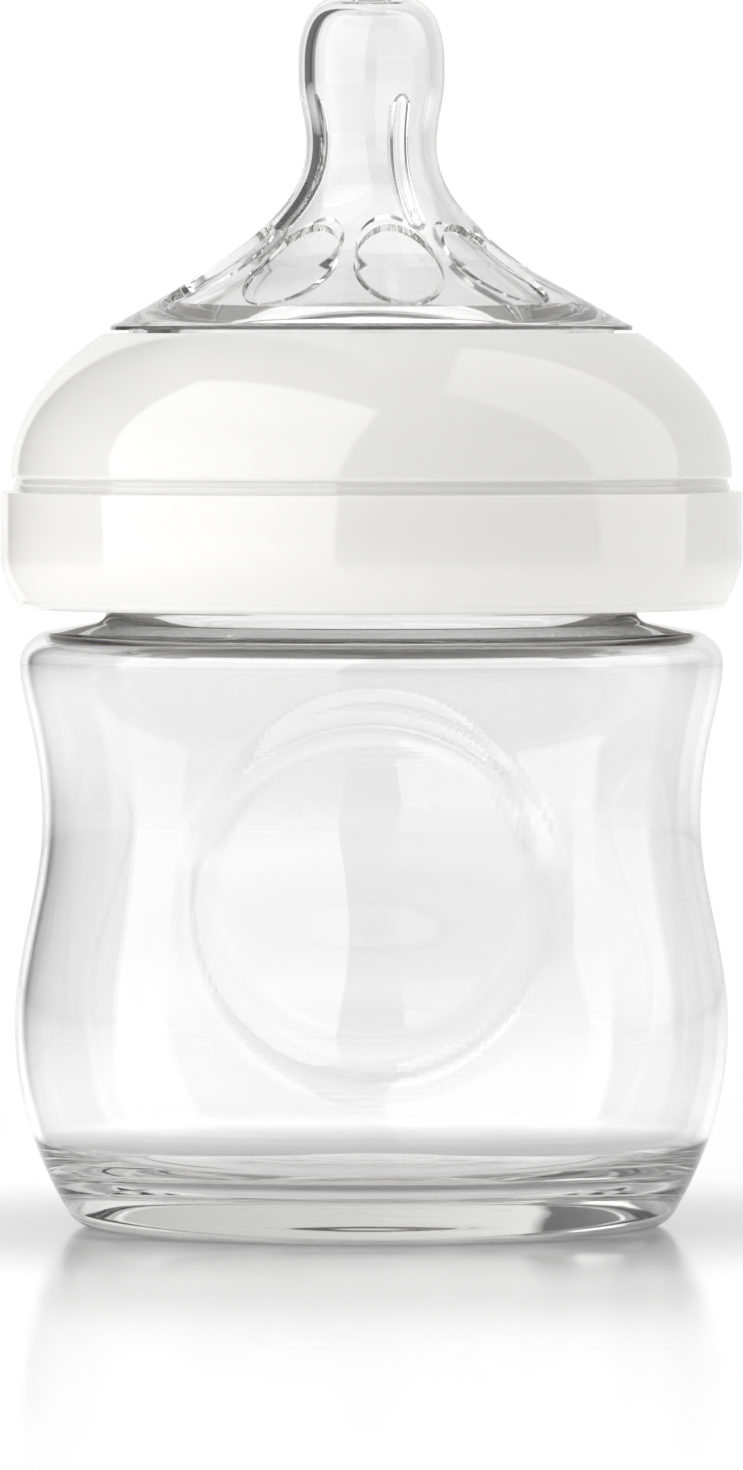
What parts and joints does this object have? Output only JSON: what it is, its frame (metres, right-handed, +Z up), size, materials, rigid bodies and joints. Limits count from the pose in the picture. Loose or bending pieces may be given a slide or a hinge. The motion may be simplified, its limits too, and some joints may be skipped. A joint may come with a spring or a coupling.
{
  "type": "baby bottle",
  "caption": "Wide-neck baby bottle: clear waisted body with thumb dimples, white domed screw ring and clear soft teat with oval pockets. The ring unscrews and lifts off with the teat.",
  "frame": {"origin": "middle of the bottle's foot, on the surface it stands on", "axes": "+Z up along the bottle's axis to the tip of the teat; -Y out of the front dimple; +X to the right as seen from the front"},
  "size_m": [0.072, 0.072, 0.1195],
  "materials": {
    "clear_plastic": "clear polypropylene, glossy inside and out",
    "white_plastic": "opaque white polypropylene, moulded gloss",
    "clear_silicone": "clear silicone rubber, smooth"
  },
  "bodies": {
    "bottle": {"bottle": "clear_plastic"},
    "teat": {"teat": "clear_silicone"},
    "screw_ring": {"screw_ring": "white_plastic"}
  },
  "joints": [
    {"name": "teat_lift", "type": "slide", "parent": "bottle", "child": "teat", "axis": [0, 0, 1], "range_m": [0, 0.0236]},
    {"name": "ring_turn", "type": "hinge", "parent": "teat", "child": "screw_ring", "pos_m": [0, 0, 0], "axis": [0, 0, 1], "range_deg": [0, 944]}
  ],
  "couplings": [
    {"joint": "teat_lift", "follows": "ring_turn", "m_per_rad": 0.0014324}
  ]
}
